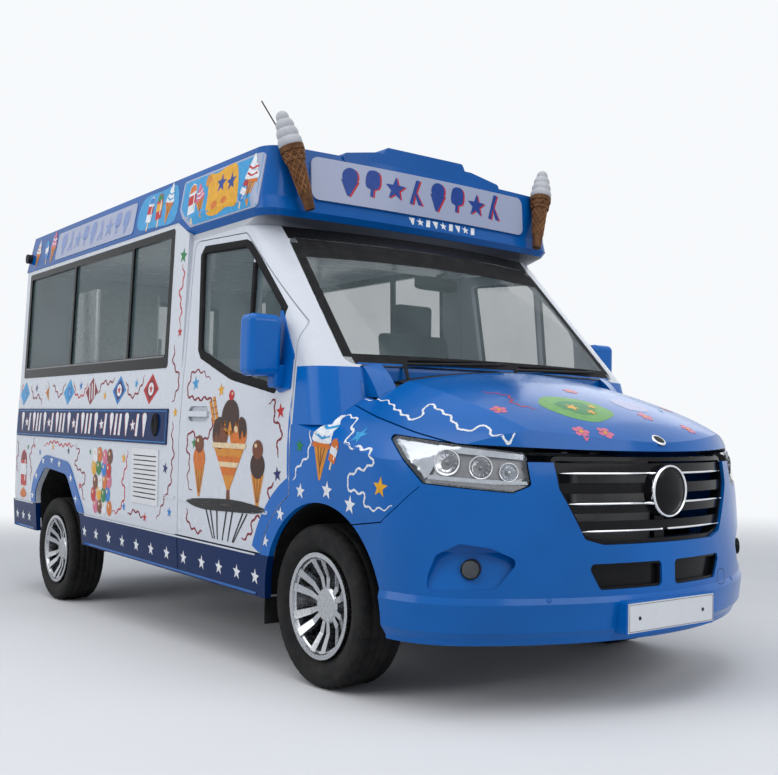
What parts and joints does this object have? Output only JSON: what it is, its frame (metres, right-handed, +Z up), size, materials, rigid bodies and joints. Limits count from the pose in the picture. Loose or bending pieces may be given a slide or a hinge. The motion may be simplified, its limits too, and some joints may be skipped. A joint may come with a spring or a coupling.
{
  "type": "ice cream van",
  "caption": "Ice cream van with a serving body behind a van cab, sliding side window, sign boards round the roof and wafer cones on its front corners.",
  "frame": {"origin": "on the ground, centred under the whole van", "axes": "+Z up, -Y towards the nose, +X towards the left side of the vehicle"},
  "size_m": [2.344, 5.2572, 2.7679],
  "materials": {
    "alloy": "satin",
    "black_frame": "gloss",
    "black_plastic": "matte",
    "blue_paint": "gloss",
    "chassis_black": "satin",
    "counter_steel": "satin",
    "cove_white": "satin",
    "dash_plastic": "matte",
    "engine_metal": "matte",
    "exhaust_steel": "satin",
    "floor_ply": "matte",
    "freezer_white": "gloss",
    "glass": "gloss",
    "grille_black": "gloss",
    "ice_white": "satin",
    "lamp_clear": "gloss",
    "lamp_red": "gloss",
    "liner_plastic": "matte",
    "machine_steel": "satin",
    "navy_paint": "gloss",
    "plate": "gloss",
    "seat_fabric": "matte",
    "sign_blue": "gloss",
    "sign_white": "gloss",
    "tinted_glass": "gloss",
    "tyre_rubber": "matte",
    "vent_aluminium": "satin",
    "wafer_brown": "satin",
    "white_paint": "gloss"
  },
  "bodies": {
    "body": {"arch_flares": "blue_paint", "arch_liners": "liner_plastic", "banner_boards": "navy_paint", "body_windows": "tinted_glass", "cab_shell": "white_paint", "canopy_soffit": "cove_white", "chassis_frame": "chassis_black", "cone_tops": "ice_white", "cone_wafers": "wafer_brown", "counters": "counter_steel", "cowl": "black_plastic", "dashboard": "dash_plastic", "driveline": "engine_metal", "engine_block": "engine_metal", "exhaust": "exhaust_steel", "floor": "floor_ply", "fog_lamps": "lamp_clear", "freezer": "freezer_white", "front_bumper": "blue_paint", "front_suspension": "chassis_black", "front_wings": "blue_paint", "fuel_tank": "black_plastic", "grille": "grille_black", "headlamps": "lamp_clear", "ice_cream_machine": "machine_steel", "louvre_vents": "vent_aluminium", "number_plates": "plate", "rear_axle": "chassis_black", "rear_bumper": "navy_paint", "rear_lamps": "lamp_red", "rear_wall": "white_paint", "roof_canopy": "sign_blue", "roof_fittings": "black_plastic", "roof_panel": "white_paint", "seats": "seat_fabric", "side_walls": "white_paint", "sign_panels": "sign_white", "skirts": "navy_paint", "window_frames": "black_frame", "windscreen": "glass", "wipers": "black_plastic"},
    "bonnet": {"bonnet": "blue_paint"},
    "steering_wheel": {"steering_wheel": "dash_plastic"},
    "door_left": {"door_panel_left": "white_paint", "door_glass_left": "tinted_glass", "mirror_left": "blue_paint"},
    "knuckle_left": {"knuckle_left": "chassis_black"},
    "wheel_front_left": {"tyre_front_left": "tyre_rubber", "rim_front_left": "alloy"},
    "wheel_rear_left": {"tyre_rear_left": "tyre_rubber", "rim_rear_left": "alloy"},
    "door_right": {"door_panel_right": "white_paint", "door_glass_right": "tinted_glass", "mirror_right": "blue_paint"},
    "knuckle_right": {"knuckle_right": "chassis_black"},
    "wheel_front_right": {"tyre_front_right": "tyre_rubber", "rim_front_right": "alloy"},
    "wheel_rear_right": {"tyre_rear_right": "tyre_rubber", "rim_rear_right": "alloy"}
  },
  "joints": [
    {"name": "bonnet_hinge", "type": "hinge", "parent": "body", "child": "bonnet", "pos_m": [0, -1.63314, 1.24767], "axis": [-1, 0, 0], "range_deg": [0, 50]},
    {"name": "door_left_hinge", "type": "hinge", "parent": "body", "child": "door_left", "pos_m": [1.004, -1.38356, 1.00623], "axis": [0, 0.0349, -0.9994], "range_deg": [0, 68]},
    {"name": "door_right_hinge", "type": "hinge", "parent": "body", "child": "door_right", "pos_m": [-1.004, -1.38356, 1.00623], "axis": [0, -0.0349, 0.9994], "range_deg": [0, 68]},
    {"name": "steer_right", "type": "hinge", "parent": "body", "child": "knuckle_right", "pos_m": [-0.752, -1.54455, 0.34], "axis": [0.1733, 0, 0.9849], "range_deg": [-35, 35]},
    {"name": "steer_left", "type": "hinge", "parent": "body", "child": "knuckle_left", "pos_m": [0.752, -1.54455, 0.34], "axis": [-0.1733, 0, 0.9849], "range_deg": [-35, 35]},
    {"name": "steering_wheel_turn", "type": "hinge", "parent": "body", "child": "steering_wheel", "pos_m": [-0.405, -1.0449, 1.30823], "axis": [0, 0.4384, 0.8988], "range_deg": [-565, 565]},
    {"name": "wheel_front_left_spin", "type": "hinge", "parent": "knuckle_left", "child": "wheel_front_left", "pos_m": [0.857, -1.54455, 0.34], "axis": [1, 0, 0], "continuous": true},
    {"name": "wheel_front_right_spin", "type": "hinge", "parent": "knuckle_right", "child": "wheel_front_right", "pos_m": [-0.857, -1.54455, 0.34], "axis": [1, 0, 0], "continuous": true},
    {"name": "wheel_rear_left_spin", "type": "hinge", "parent": "body", "child": "wheel_rear_left", "pos_m": [0.857, 1.70545, 0.34], "axis": [1, 0, 0], "continuous": true},
    {"name": "wheel_rear_right_spin", "type": "hinge", "parent": "body", "child": "wheel_rear_right", "pos_m": [-0.857, 1.70545, 0.34], "axis": [1, 0, 0], "continuous": true}
  ],
  "couplings": [
    {"joint": "steer_left", "follows": "steer_right", "ratio": 1},
    {"joint": "steering_wheel_turn", "follows": "steer_right", "ratio": 16}
  ]
}
